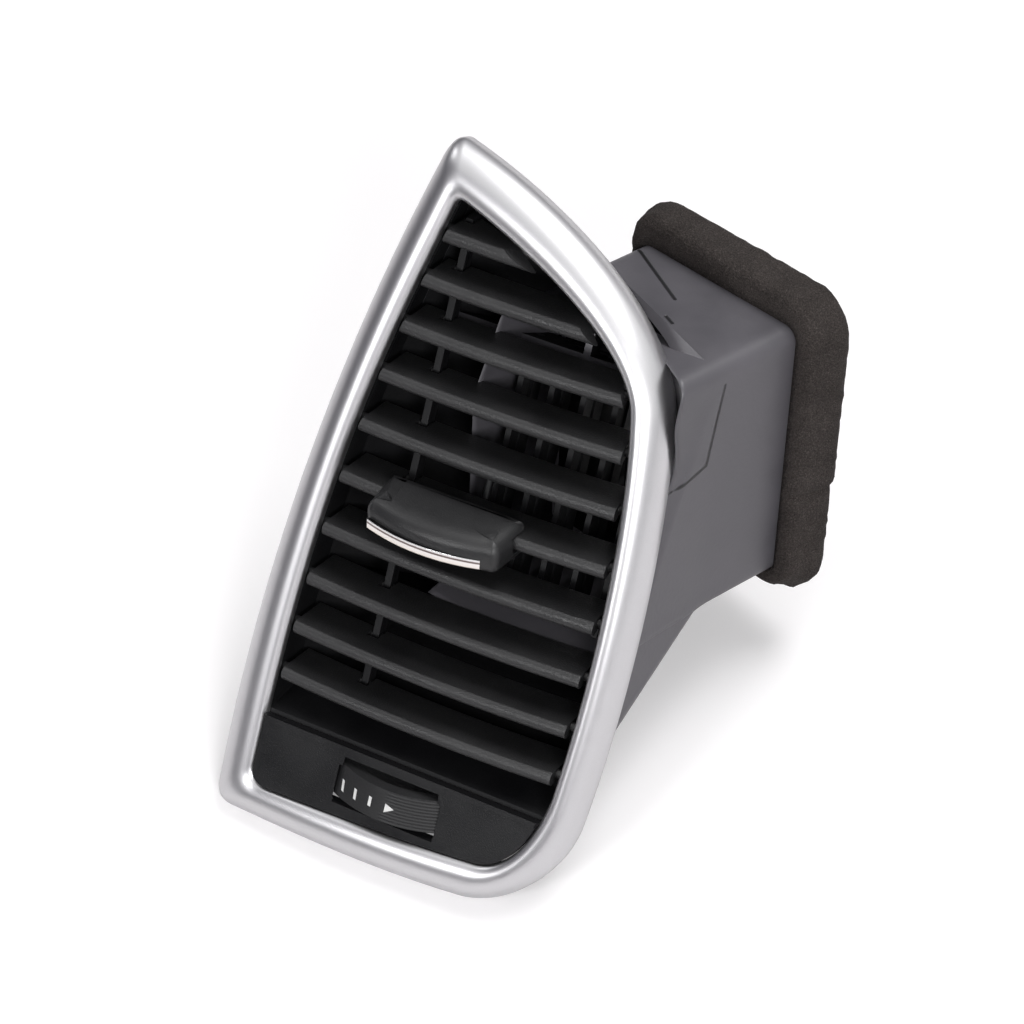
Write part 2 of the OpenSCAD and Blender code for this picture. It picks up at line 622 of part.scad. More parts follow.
trim_half = 19;
trim_side = -1.5;
module trim_ring(r0, r1, half, h) translate([trim_side, knob_front_r - knob_front, 0]) rotate([0, 0, -90 - half])
    rotate_extrude(angle = 2 * half, $fn = ARC_FN) translate([r0, 0]) square([r1 - r0, h]);
module knob() color(charcoal) at_knob() difference() {
    intersection() {
        translate([-knob_w, 0, 0]) rotate([90, 0, 90]) linear_extrude(2 * knob_w) polygon(knob_side());
        translate([0, 0, knob_low - 1]) linear_extrude(knob_top - knob_low + 2) knob_plan();
    }
    translate([-knob_w, -0.5, -slot_gap]) cube([2 * knob_w, 30, slat_nose + 2 * slot_gap]);
    translate([0, 0, trim_w - TOUCH]) trim_ring(knob_front_r - 0.9, knob_front_r + 3, trim_half + 0.1, trim_h + 2 * TOUCH);
}
module knob_trim() color(silver) at_knob() translate([0, 0, trim_w])
    trim_ring(knob_front_r - 0.9 + TOUCH, knob_front_r + 0.5, trim_half, trim_h);

fork_t = 1.6;
fork_back = 18.4;
fork_slot = 2 * drive_r + 0.9;
module knob_fork() color(satin_black) at_knob() difference() {
    translate([0, 0, knob_low - fork_t]) linear_extrude(fork_t) polygon([[-5, -5], [5, -5],
        [fork_side + 4, 9], [fork_side + 4, fork_back], [fork_side - 4, fork_back], [fork_side - 4, 11], [-5, 4]]);
    translate([fork_side - fork_slot / 2, 10.4, knob_low - fork_t - 1]) cube([fork_slot, 20, fork_t + 2]);
}

// Foam strip wound round the rear end, with a butt joint on the right side
module foam_seal() color(foam_brown) difference() {
    duct_run(-foam_w, 0) difference() {
        rounded_2d(duct_w + 2 * foam_t, duct_h + 2 * foam_t, duct_edge_r + foam_t);
        rounded_2d(duct_w + 0.1, duct_h + 0.1, duct_edge_r);
    }
    translate([duct_w / 2 - 1, -foam_w - 1, -10]) cube([foam_t + 3, foam_w + 2, 0.5]);
}

bezel();
front_frame();
lower_panel();
air_funnel();
rear_duct();
foam_seal();
slat(1);  // slat_1
slat(2);  // slat_2
slat(3);  // slat_3
slat(4);  // slat_4
slat(5);  // slat_5
slat(6);  // slat_6
slat(7);  // slat_7
slat(8);  // slat_8
slat(9);  // slat_9
slat(10);  // slat_10
slat_link();
knob();
knob_trim();
knob_fork();
vane(1);  // vane_1
vane(2);  // vane_2
vane(3);  // vane_3
vane(4);  // vane_4
vane(5);  // vane_5
vane_link();
thumbwheel();
wheel_screw();
damper_rod();
flap(-1);  // flap_left
flap(1);  // flap_right
flap_lever(-1);  // flap_lever_left
flap_lever(1);  // flap_lever_right
flap_link();
bezel_screws();
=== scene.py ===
import math

import bpy
from mathutils import Matrix, Vector, noise
from mathutils.bvhtree import BVHTree


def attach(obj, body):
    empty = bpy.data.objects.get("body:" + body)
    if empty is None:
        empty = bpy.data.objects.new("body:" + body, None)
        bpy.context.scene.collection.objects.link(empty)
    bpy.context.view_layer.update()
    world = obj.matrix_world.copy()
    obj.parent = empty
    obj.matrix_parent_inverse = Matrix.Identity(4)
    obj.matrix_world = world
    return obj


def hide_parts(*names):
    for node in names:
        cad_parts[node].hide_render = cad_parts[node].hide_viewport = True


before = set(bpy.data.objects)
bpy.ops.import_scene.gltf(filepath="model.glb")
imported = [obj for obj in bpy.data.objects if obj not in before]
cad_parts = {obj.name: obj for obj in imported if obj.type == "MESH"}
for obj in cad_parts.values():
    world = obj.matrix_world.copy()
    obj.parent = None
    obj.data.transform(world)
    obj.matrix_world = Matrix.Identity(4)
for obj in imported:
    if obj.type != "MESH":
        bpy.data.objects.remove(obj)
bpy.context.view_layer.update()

# Camera: a long lens that looks down on the face from its right front, rolled a little.
# Its place is given round a point near the middle of the vent, in millimetres.
MM = 0.001
CAMERA_AIM = Vector((-8.379, -74.013, -10.170)) * MM
CAMERA_DISTANCE = 920 * MM
CAMERA_AZIMUTH = math.radians(-44.323)
CAMERA_ELEVATION = math.radians(35.496)
CAMERA_ROLL = math.radians(2.810)
LENS = 125.88
FILM_WIDTH = 36

camera_data = bpy.data.cameras.new("camera")
camera_data.sensor_width = FILM_WIDTH
camera_data.lens = LENS
camera_data.clip_start = 0.05
camera_data.clip_end = 20
camera = bpy.data.objects.new("camera", camera_data)
bpy.context.scene.collection.objects.link(camera)
out_from_aim = Vector((
    math.cos(CAMERA_ELEVATION) * math.cos(CAMERA_AZIMUTH),
    math.cos(CAMERA_ELEVATION) * math.sin(CAMERA_AZIMUTH),
    math.sin(CAMERA_ELEVATION)))
level_right = Vector((-math.sin(CAMERA_AZIMUTH), math.cos(CAMERA_AZIMUTH), 0))
level_up = out_from_aim.cross(level_right)
camera_right = level_right * math.cos(CAMERA_ROLL) + level_up * math.sin(CAMERA_ROLL)
camera_up = out_from_aim.cross(camera_right)
camera_turn = Matrix((camera_right, camera_up, out_from_aim)).transposed().to_4x4()
camera.matrix_world = Matrix.Translation(CAMERA_AIM + out_from_aim * CAMERA_DISTANCE) @ camera_turn
bpy.context.scene.camera = camera
bpy.context.scene.view_settings.view_transform = "Standard"


# Front frame: the black moulding behind the bezel that holds the slats' pins and has the
# fixing lugs. It is injection moulded plastic with a fine leathery grain, which the other
# mouldings share, each with its own depth and scale of grain.
MOTTLE_SCALE = 60
CELL_SHARE = 0.8
CELL_DEPTH_SHARE = 0.7
FINE_RELIEF = 0.12 * MM
CELL_RELIEF = 0.10 * MM
WELD_GAP = 0.005 * MM
EDGE_ANGLE = math.radians(38)
EDGE = 0.15


def plain_material(name, colour, rough, metallic=0.0, spec=0.5):
    material = bpy.data.materials.new(name)
    material.use_nodes = True
    principled = material.node_tree.nodes["Principled BSDF"]
    principled.inputs["Base Color"].default_value = (*colour, 1)
    principled.inputs["Roughness"].default_value = rough
    principled.inputs["Metallic"].default_value = metallic
    principled.inputs["Specular IOR Level"].default_value = spec
    return material, material.node_tree, principled


def object_place(tree):
    return tree.nodes.new("ShaderNodeTexCoord").outputs["Object"]


def plug(tree, source, socket):
    """Link source to the socket if it is a socket itself, else write it there as a value."""
    if isinstance(source, bpy.types.NodeSocket):
        tree.links.new(source, socket)
    else:
        socket.default_value = source


def noise_field(tree, place, scale, detail=3.0, rough=0.5):
    node = tree.nodes.new("ShaderNodeTexNoise")
    node.inputs["Detail"].default_value = detail
    node.inputs["Roughness"].default_value = rough
    plug(tree, scale, node.inputs["Scale"])
    tree.links.new(place, node.inputs["Vector"])
    return node.outputs["Fac"]


def cell_field(tree, place, scale):
    node = tree.nodes.new("ShaderNodeTexVoronoi")
    plug(tree, scale, node.inputs["Scale"])
    tree.links.new(place, node.inputs["Vector"])
    return node.outputs["Distance"]


def calculate(tree, kind, *values):
    node = tree.nodes.new("ShaderNodeMath")
    node.operation = kind
    for k, value in enumerate(values):
        plug(tree, value, node.inputs[k])
    return node.outputs["Value"]


def spread(tree, value, low, high, to_low=0.0, to_high=1.0):
    """The value's place between low and high, held within them, as a value from to_low to to_high."""
    node = tree.nodes.new("ShaderNodeMapRange")
    ends = {"Value": value, "From Min": low, "From Max": high, "To Min": to_low, "To Max": to_high}
    for name, source in ends.items():
        plug(tree, source, node.inputs[name])
    return node.outputs["Result"]


def relief(tree, height, strength, depth, below=None):
    node = tree.nodes.new("ShaderNodeBump")
    node.inputs["Distance"].default_value = depth
    plug(tree, strength, node.inputs["Strength"])
    tree.links.new(height, node.inputs["Height"])
    if below:
        tree.links.new(below, node.inputs["Normal"])
    return node.outputs["Normal"]


def mixed_colour(tree, share, first, second, blend="MIX"):
    node = tree.nodes.new("ShaderNodeMix")
    node.data_type = "RGBA"
    node.blend_type = blend
    plug(tree, share, node.inputs["Factor"])
    plug(tree, first, node.inputs["A"])
    plug(tree, second, node.inputs["B"])
    return node.outputs["Result"]


def moulded_grain_group():
    """The mouldings' shared finish: mottled colour and gloss, fine grain over leathery cells."""
    group = bpy.data.node_groups.new("moulded_grain", "ShaderNodeTree")
    for name, kind in (("Dark", "Color"), ("Light", "Color"), ("Least roughness", "Float"),
            ("Most roughness", "Float"), ("Grain scale", "Float"), ("Grain", "Float")):
        group.interface.new_socket(name=name, in_out="INPUT", socket_type="NodeSocket" + kind)
    for name, kind in (("Colour", "Color"), ("Roughness", "Float"), ("Normal", "Vector")):
        group.interface.new_socket(name=name, in_out="OUTPUT", socket_type="NodeSocket" + kind)
    given = group.nodes.new("NodeGroupInput").outputs
    made = group.nodes.new("NodeGroupOutput").inputs
    place = object_place(group)
    mottle = noise_field(group, place, MOTTLE_SCALE, 4)
    share = spread(group, mottle, 0.3, 0.7)
    gloss = spread(group, mottle, 0.3, 0.7, given["Least roughness"], given["Most roughness"])
    fine = noise_field(group, place, given["Grain scale"], 2, 0.6)
    cells = cell_field(group, place, calculate(group, "MULTIPLY", given["Grain scale"], CELL_SHARE))
    fine_relief = relief(group, fine, given["Grain"], FINE_RELIEF)
    cell_depth = calculate(group, "MULTIPLY", given["Grain"], CELL_DEPTH_SHARE)
    group.links.new(mixed_colour(group, share, given["Dark"], given["Light"]), made["Colour"])
    group.links.new(gloss, made["Roughness"])
    group.links.new(relief(group, cells, cell_depth, CELL_RELIEF, fine_relief), made["Normal"])
    return group


moulded_grain = moulded_grain_group()


def moulding(name, dark, light, rough, grain_scale, grain, spec=0.5, rough_spread=0.06):
    material, tree, principled = plain_material(name, dark, rough, spec=spec)
    finish = tree.nodes.new("ShaderNodeGroup")
    finish.node_tree = moulded_grain
    given = {"Dark": (*dark, 1), "Light": (*light, 1), "Least roughness": rough - rough_spread,
        "Most roughness": rough + rough_spread, "Grain scale": grain_scale, "Grain": grain}
    for socket, value in given.items():
        finish.inputs[socket].default_value = value
    tree.links.new(finish.outputs["Colour"], principled.inputs["Base Color"])
    tree.links.new(finish.outputs["Roughness"], principled.inputs["Roughness"])
    tree.links.new(finish.outputs["Normal"], principled.inputs["Normal"])
    return material


def dress(name, material, edge=EDGE):
    """A CAD node gets its material, edges rounded by a width in millimetres and smooth shading."""
    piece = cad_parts[name]
    piece.data.materials.clear()
    piece.data.materials.append(material)
    piece.data.polygons.foreach_set("use_smooth", [True] * len(piece.data.polygons))
    weld = piece.modifiers.new("weld", "WELD")
    weld.merge_threshold = WELD_GAP
    rounding = piece.modifiers.new("bevel", "BEVEL")
    rounding.width = edge * MM
    rounding.segments = 3
    rounding.limit_method = "ANGLE"
    rounding.angle_limit = EDGE_ANGLE
    flat = piece.modifiers.new("flat", "WEIGHTED_NORMAL")
    flat.weight = 90


black_plastic = moulding("black_plastic", (0.005, 0.005, 0.006), (0.008, 0.008, 0.009), 0.55, 2200, 0.4,
    spec=0.3)
dress("front_frame", black_plastic)

# Bezel: one sail-shaped ring of moulded plastic with a satin silver lacquer, rounded in
# front and hollow behind. It is traced from the part's outlines, which are drawn on the
# leaning face, and steel screws hold it from behind.
YAW = math.radians(17.5)
LEAN = math.radians(22)
REACH = 88
DUCT_SIDE = 7
DUCT_RISE = 12.5
OPENING = [
    [(-27.5, 82), (-36, 48), (-48.8, 5), (-48.6, -80)],
    [(-48.6, -80), (-48.8, -83.5), (-47, -85.2), (-43.5, -85.2)],
    [(-43.5, -85.2), (-20, -85), (2, -84.5), (20, -82.5)],
    [(20, -82.5), (29, -81.5), (34.5, -71), (36.6, -58)],
    [(36.6, -58), (39.6, -24), (39, 20), (32, 46.5)],
    [(32, 46.5), (27, 60), (2, 74), (-24.5, 82.7)],
    [(-24.5, 82.7), (-25.8, 83.1), (-27, 83), (-27.5, 82)]]
RIM = [
    [(-36, 91.5), (-47, 54), (-62, -12), (-61.3, -90)],
    [(-61.3, -90), (-61.5, -94.5), (-59.5, -96.3), (-56, -96.3)],
    [(-56, -96.3), (-30, -96.4), (-6, -96.4), (14, -94.6)],
    [(14, -94.6), (28, -94.5), (41, -81), (43.4, -66)],
    [(43.4, -66), (47.5, -30), (47, 12), (41.5, 44)],
    [(41.5, 44), (37.5, 68), (4, 88), (-30, 97.3)],
    [(-30, 97.3), (-33, 98.3), (-34.8, 96), (-36, 91.5)]]
STEPS_PER_CURVE = 40
DOME_MIDDLE = -4
DOME_ACROSS, DOME_ALONG = 1080, 5800
CREST = -2.1
BEZEL_DEPTH = 10.5
BEZEL_WALL = 1.8
BACK = CREST + BEZEL_DEPTH
LIP, LIP_LEAST = 1.0, 3.7
NO_LEAST = -10
RIM_CHAMFER = 0.3
# Points of the front: share of the band from opening to rim, depth behind the dome
FRONT = [(0, 0.55), (0.006, 0.1), (0.03, -0.5), (0.10, -1.4), (0.22, CREST + 0.15), (0.36, CREST),
    (0.52, CREST + 0.35), (0.68, CREST + 1.3), (0.82, CREST + 2.7), (0.93, CREST + 4.5), (0.985, 4.0),
    (1, 5.2)]
STEPS_PER_POINT = 4


def ramp(tree, share, stops):
    """A colour for the share from 0 to 1. A stop is its place and a grey or a colour."""
    node = tree.nodes.new("ShaderNodeValToRGB")
    elements = node.color_ramp.elements
    while len(elements) < len(stops):
        elements.new(0.5)
    for element, (place, value) in zip(elements, stops):
        element.position = place
        element.color = (*value, 1) if isinstance(value, tuple) else (value, value, value, 1)
    tree.links.new(share, node.inputs["Fac"])
    return node.outputs["Color"]


silver_paint, tree, principled = plain_material("silver_paint", (0.66, 0.66, 0.675), 0.38, 1.0)
place = object_place(tree)
flake = ramp(tree, cell_field(tree, place, 9000), [(0.0, (0.63, 0.625, 0.64)), (0.8, (0.70, 0.695, 0.71))])
tree.links.new(flake, principled.inputs["Base Color"])
principled.inputs["Coat Weight"].default_value = 0.25
principled.inputs["Coat Roughness"].default_value = 0.22
tree.links.new(relief(tree, noise_field(tree, place, 4200, 2), 0.10, 0.04 * MM), principled.inputs["Normal"])


def face_point(u, v, w):
    """A point of the upright face frame: right, back and up from the middle of the face, in millimetres."""
    x = u * math.cos(YAW) - v * math.sin(YAW) - DUCT_SIDE
    y = u * math.sin(YAW) + v * math.cos(YAW) - REACH
    return Vector((x, y, w - DUCT_RISE)) * MM


def leaning_point(u, n, t):
    """A point of the leaning face frame: right, square behind the face and up along it."""
    v = n * math.cos(LEAN) + t * math.sin(LEAN)
    w = t * math.cos(LEAN) - n * math.sin(LEAN)
    return face_point(u, v, w)


def trace(curves):
    """Points along a closed run of cubic curves, each with its two ends and two handles."""
    points = []
    for a, b, c, d in curves:
        for k in range(STEPS_PER_CURVE):
            s = k / STEPS_PER_CURVE
            weights = ((1 - s) ** 3, 3 * s * (1 - s) ** 2, 3 * s * s * (1 - s), s ** 3)
            points.append(tuple(sum(w * p[i] for w, p in zip(weights, (a, b, c, d))) for i in (0, 1)))
    return points


def dome(u, t):
    return (u - DOME_MIDDLE) ** 2 / DOME_ACROSS + t * t / DOME_ALONG


def smooth_curve(points, steps):
    """Points on a smooth curve through the given ones."""
    curve = []
    for i in range(len(points) - 1):
        p0 = Vector(points[max(i - 1, 0)])
        p1, p2 = Vector(points[i]), Vector(points[i + 1])
        p3 = Vector(points[min(i + 2, len(points) - 1)])
        for k in range(steps):
            s = k / steps
            first = (p2 - p0) * s
            second = (2 * p0 - 5 * p1 + 4 * p2 - p3) * s * s
            third = (3 * p1 - p0 - 3 * p2 + p3) * s ** 3
            curve.append(0.5 * (2 * p1 + first + second + third))
    return [(p[0], p[1]) for p in curve] + [points[-1]]


def closed_grid(rows, columns):
    """Quads between neighbouring rows of points, where the rows and each row's points form rings."""
    quads = []
    for i in range(rows):
        for j in range(columns):
            i2, j2 = (i + 1) % rows, (j + 1) % columns
            quads.append((i * columns + j, i * columns + j2, i2 * columns + j2, i2 * columns + j))
    return quads


def new_piece(name, points, faces, material, body, smooth=True):
    mesh = bpy.data.meshes.new(name)
    mesh.from_pydata(points, [], faces)
    mesh.materials.append(material)
    mesh.polygons.foreach_set("use_smooth", [smooth] * len(mesh.polygons))
    piece = bpy.data.objects.new(name, mesh)
    bpy.context.scene.collection.objects.link(piece)
    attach(piece, body)
    return piece


# Share of the band, depth behind the dome, and the least depth behind the face
front_section = [(share, depth, NO_LEAST) for share, depth in smooth_curve(FRONT, STEPS_PER_POINT)]
back_section = [(1, BACK - RIM_CHAMFER), (0.985, BACK), (0.875, BACK), (0.86, BACK - RIM_CHAMFER),
    (0.86, 4.0 + BEZEL_WALL), (0.66, CREST + 1.3 + BEZEL_WALL), (0.36, CREST + BEZEL_WALL),
    (0.2, CREST + 0.4 + BEZEL_WALL), (0.14, 0.4)]
bezel_section = [(0, LIP, LIP_LEAST), (0, 0.8, NO_LEAST)] + front_section
bezel_section += [(share, depth, NO_LEAST) for share, depth in back_section] + [(0.14, LIP, LIP_LEAST)]
opening = trace(OPENING)
rim = trace(RIM)
points = []
for (inner_u, inner_t), (outer_u, outer_t) in zip(opening, rim):
    for share, depth, least in bezel_section:
        u = inner_u + (outer_u - inner_u) * share
        t = inner_t + (outer_t - inner_t) * share
        points.append(leaning_point(u, max(depth + dome(u, t), least), t))
bezel_shell = new_piece("bezel_shell", points, closed_grid(len(opening), len(bezel_section)),
    silver_paint, "housing")
bezel_shell.data.set_sharp_from_angle(angle=math.radians(50))
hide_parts("bezel")

screw_steel, tree, principled = plain_material("screw_steel", (0.55, 0.56, 0.58), 0.3, 1.0)
brushed = noise_field(tree, object_place(tree), 1500)
tree.links.new(relief(tree, brushed, 0.2, 0.05 * MM), principled.inputs["Normal"])
dress("bezel_screws", screw_steel)

# Lower panel: the smooth black plate under the slats, with the thumbwheel's window.
# It is moulded in black plastic with hardly any grain, and sits in the front frame.
panel_plastic = moulding("panel_plastic", (0.005, 0.005, 0.006), (0.008, 0.008, 0.009), 0.36, 3200, 0.25,
    spec=0.35)
dress("lower_panel", panel_plastic, 0.35)

# Funnel and rear duct: the dark grey air duct, moulded in two parts, with thin grooves on
#  its outside; its inner faces carry a near-black painted shade. A smooth skin over both
#  carries the outer face forward beside the bezel, where the funnel's own solid ends square.
DUCT_W, DUCT_H, DUCT_R = 56, 76, 4
PANEL_STEP = 1.6
FACE_MIDDLE_X, FACE_MIDDLE_Z = -9, -19
AIRWAY_BEND = 50
LOOK_OUT = 0.2 * MM
SKIN_GAP = 0.25
SKIN_WALL = 0.12
SKIN_REAR = -0.6
SKIN_ROWS = 36
SKIN_FRONT_N, SKIN_LEAST_N = 11.2, 4.0
FRONT_SEARCH_STEP = 0.25
FORK_BACK = -70.5
FRONT_SMOOTHING, BULGE_SMOOTHING = 12, 3
MOST_BULGE = 3.6
OUTSIDE_X = 60
RIM_WIDER, RIM_TALLER, RIM_GAP = 1.02, 1.008, 0.4
# Ends of the grooves: on the top face, then down and along the right face
GROOVES = [((-27, -15.1, 38.2), (-2.1, -25.7, 38.2)), ((2.3, -33.2, 38.2), (5.6, -34.3, 38.2)),
    ((28.6, -37.4, 32.3), (28.6, -42.2, 10.1)), ((28.6, -42.2, 10.1), (29.0, -54.4, 7.2)),
    ((28.6, -54.4, 7.2), (30.0, -62, 5.4))]
GROOVE_REACH = 1.0 * MM

duct_plastic = moulding("duct_plastic", (0.085, 0.082, 0.092), (0.105, 0.100, 0.112), 0.42, 900, 0.25,
    rough_spread=0.08)
# Near-black painted shade for the duct's inner faces and for faces that look at another wall
inside_painted_shade = moulding("inside_painted_shade", (0.004, 0.004, 0.0045), (0.006, 0.006, 0.007), 0.7, 1800, 0.4,
    spec=0.15)


def surface_tree(piece):
    mesh = piece.data
    corners = [v.co.copy() for v in mesh.vertices]
    return BVHTree.FromPolygons(corners, [tuple(p.vertices) for p in mesh.polygons])


def paint_inside_shade(piece):
    """Faces that look at the airway's middle line, or at another wall, get a near-black painted shade."""
    piece.data.materials.append(inside_painted_shade)
    walls = surface_tree(piece)
    for face in piece.data.polygons:
        centre = face.center / MM
        share = min(max((centre.y + REACH) / AIRWAY_BEND, 0), 1)
        middle = Vector((FACE_MIDDLE_X, centre.y, FACE_MIDDLE_Z)).lerp(Vector((0, centre.y, 0)), share)
        looks_in = face.normal.dot(middle - centre) > 0
        if looks_in or walls.ray_cast(face.center + face.normal * LOOK_OUT, face.normal)[0] is not None:
            face.material_index = 1


dress("air_funnel", duct_plastic, 0.3)
dress("rear_duct", duct_plastic, 0.35)
paint_inside_shade(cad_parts["air_funnel"])
paint_inside_shade(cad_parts["rear_duct"])


def vector_step(tree, kind, first, second=None, output="Vector"):
    node = tree.nodes.new("ShaderNodeVectorMath")
    node.operation = kind
    plug(tree, first, node.inputs[0])
    if second is not None:
        plug(tree, second, node.inputs["Scale" if kind == "SCALE" else 1])
    return node.outputs[output]


def line_distance(tree, place, start, end):
    """Distance in metres from the place to the line between two points given in millimetres."""
    start, run = Vector(start) * MM, (Vector(end) - Vector(start)) * MM
    from_start = vector_step(tree, "SUBTRACT", place, start)
    along = vector_step(tree, "DOT_PRODUCT", from_start, run / run.length_squared, "Value")
    held = tree.nodes.new("ShaderNodeClamp")
    tree.links.new(along, held.inputs["Value"])
    foot = vector_step(tree, "SCALE", run, held.outputs["Result"])
    return vector_step(tree, "LENGTH", vector_step(tree, "SUBTRACT", from_start, foot), output="Value")


duct_skin_plastic = duct_plastic.copy()
duct_skin_plastic.name = "duct_skin"
tree = duct_skin_plastic.node_tree
principled = tree.nodes["Principled BSDF"]
place = object_place(tree)
nearest = line_distance(tree, place, *GROOVES[0])
for start, end in GROOVES[1:]:
    nearest = calculate(tree, "MINIMUM", nearest, line_distance(tree, place, start, end))
groove = ramp(tree, spread(tree, nearest, 0.0, GROOVE_REACH), [(0.0, 0.0), (0.3, 0.06), (0.62, 1.0)])
duct_colour = principled.inputs["Base Color"].links[0].from_socket
duct_relief = principled.inputs["Normal"].links[0].from_socket
tree.links.new(mixed_colour(tree, 0.93, duct_colour, groove, "MULTIPLY"), principled.inputs["Base Color"])
tree.links.new(relief(tree, groove, 0.8, 0.4 * MM, duct_relief), principled.inputs["Normal"])


def rounded_rectangle(width, height, radius, steps):
    """A closed loop of (x, z, outward x, outward z), anticlockwise from the right side."""
    arcs = []
    for side, level, first_angle in ((1, 1, 0), (-1, 1, 90), (-1, -1, 180), (1, -1, 270)):
        for k in range(steps + 1):
            angle = math.radians(first_angle + 90 * k / steps)
            across, up = math.cos(angle), math.sin(angle)
            x = side * (width / 2 - radius) + radius * across
            z = level * (height / 2 - radius) + radius * up
            arcs.append((x, z, across, up))
    loop = []
    for i, here in enumerate(arcs):
        there = arcs[(i + 1) % len(arcs)]
        parts = max(1, round(math.hypot(there[0] - here[0], there[1] - here[1]) / PANEL_STEP))
        for k in range(parts):
            loop.append(tuple(here[m] + (there[m] - here[m]) * k / parts for m in range(4)))
    return loop


def inside_outline(u, t, outline):
    inside = False
    for i in range(len(outline)):
        (u0, t0), (u1, t1) = outline[i - 1], outline[i]
        if (t0 > t) != (t1 > t) and u < u0 + (t - t0) * (u1 - u0) / (t1 - t0):
            inside = not inside
    return inside


def leaning_place(x, y, z):
    """The leaning face frame's u, n and t of a point of the duct's frame."""
    px, py, w = x + DUCT_SIDE, y + REACH, z + DUCT_RISE
    u = px * math.cos(YAW) + py * math.sin(YAW)
    v = -px * math.sin(YAW) + py * math.cos(YAW)
    return u, v * math.cos(LEAN) - w * math.sin(LEAN), v * math.sin(LEAN) + w * math.cos(LEAN)


def duct_point(x, y, z):
    """A point of the duct's frame, given in millimetres."""
    return Vector((x, y, z)) * MM


rim_guard = [(u * RIM_WIDER + math.copysign(RIM_GAP, u), t * RIM_TALLER) for u, t in rim]


def skin_front(x, z):
    """How far forward the skin runs beside the bezel, without getting inside the bezel's outline."""
    y = -REACH
    while leaning_place(x, y, z)[1] < SKIN_FRONT_N:
        y += FRONT_SEARCH_STEP
    while leaning_place(x, y, z)[1] > SKIN_LEAST_N:
        u, n, t = leaning_place(x, y - FRONT_SEARCH_STEP, z)
        if inside_outline(u, t, rim_guard):
            break
        y -= FRONT_SEARCH_STEP
    return y


skin_loop = rounded_rectangle(DUCT_W, DUCT_H, DUCT_R, 6)
around = len(skin_loop)
fronts = [skin_front(x, z) for x, z, across, up in skin_loop]
for _ in range(FRONT_SMOOTHING):
    fronts = [(fronts[i - 1] + fronts[i] + fronts[(i + 1) % around]) / 3 for i in range(around)]
# On the left the skin starts behind the knob fork's travel
for i, (x, z, across, up) in enumerate(skin_loop):
    fronts[i] += max(0, -across) * max(0, FORK_BACK - fronts[i])


def skin_row(front, j):
    return front + (SKIN_REAR - front) * j / SKIN_ROWS


funnel_walls = surface_tree(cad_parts["air_funnel"])
bulges = []
for (x, z, across, up), front in zip(skin_loop, fronts):
    column = []
    for j in range(SKIN_ROWS + 1):
        eye = duct_point(OUTSIDE_X, skin_row(front, j), z)
        hit = funnel_walls.ray_cast(eye, Vector((-1, 0, 0)))[0]
        over = max(0, hit.x / MM - x) if hit and across > 0.2 else 0
        column.append(min(over, MOST_BULGE))
    bulges.append(column)


def neighbours_mean(grid, i, j):
    beside = grid[i - 1][j] + grid[(i + 1) % around][j]
    before_and_behind = grid[i][max(j - 1, 0)] + grid[i][min(j + 1, SKIN_ROWS)]
    return (beside + before_and_behind) / 4


for _ in range(BULGE_SMOOTHING):
    bulges = [[max(bulges[i][j], neighbours_mean(bulges, i, j)) for j in range(SKIN_ROWS + 1)]
        for i in range(around)]
points = []
for (x, z, across, up), front, column in zip(skin_loop, fronts, bulges):
    for j in range(SKIN_ROWS + 1):
        out = SKIN_GAP * across + column[j] * max(across, 0)
        points.append(duct_point(x + out, skin_row(front, j), z + SKIN_GAP * up))
faces = []
for i in range(around):
    for j in range(SKIN_ROWS):
        here, beside = i * (SKIN_ROWS + 1) + j, (i + 1) % around * (SKIN_ROWS + 1) + j
        faces.append((here, here + 1, beside + 1, beside))
duct_skin = new_piece("duct_skin", points, faces, duct_skin_plastic, "housing")
skin_wall = duct_skin.modifiers.new("thickness", "SOLIDIFY")
skin_wall.thickness = SKIN_WALL * MM
skin_wall.offset = -1

# Foam seal: a strip of open-cell foam, glued round the duct's rear end with its butt joint
# on the right. It is thinner towards the front, with rounded corners and an uneven face.
FOAM_THICK, FOAM_WIDE = 9, 13
FOAM_CLEAR = 0.6
THINNER_LEFT, THINNER_RIGHT, THINNER_BELOW = 4.4, 2.0, 3.6
SLOPE_START, SLOPE_RUN, SLOPE_STEPS = 2.2, 8, 6
REAR_GAP = 0.12
JOINT_Z, JOINT_WIDE, JOINT_DEEP = -9.75, 0.5, 2.2
LOWER_END_DROP = 0.8
WORN = 0.25

foam, tree, principled = plain_material("foam", (0.07, 0.058, 0.052), 0.95, spec=0.15)
place = object_place(tree)
cells = cell_field(tree, place, 1500)
speck = noise_field(tree, place, 2600, 4, 0.7)
patch = noise_field(tree, place, 130, 5, 0.65)
speck_colour = ramp(tree, speck, [(0.28, (0.020, 0.017, 0.016)), (0.55, (0.060, 0.051, 0.048)),
    (0.80, (0.16, 0.14, 0.13))])
patch_shade = ramp(tree, patch, [(0.3, 0.55), (0.7, 1.0)])
foam_colour = mixed_colour(tree, 0.75, speck_colour, patch_shade, "MULTIPLY")
tree.links.new(foam_colour, principled.inputs["Base Color"])
open_cells = relief(tree, cells, 0.9, 0.4 * MM)
tree.links.new(relief(tree, speck, 0.8, 0.3 * MM, open_cells), principled.inputs["Normal"])


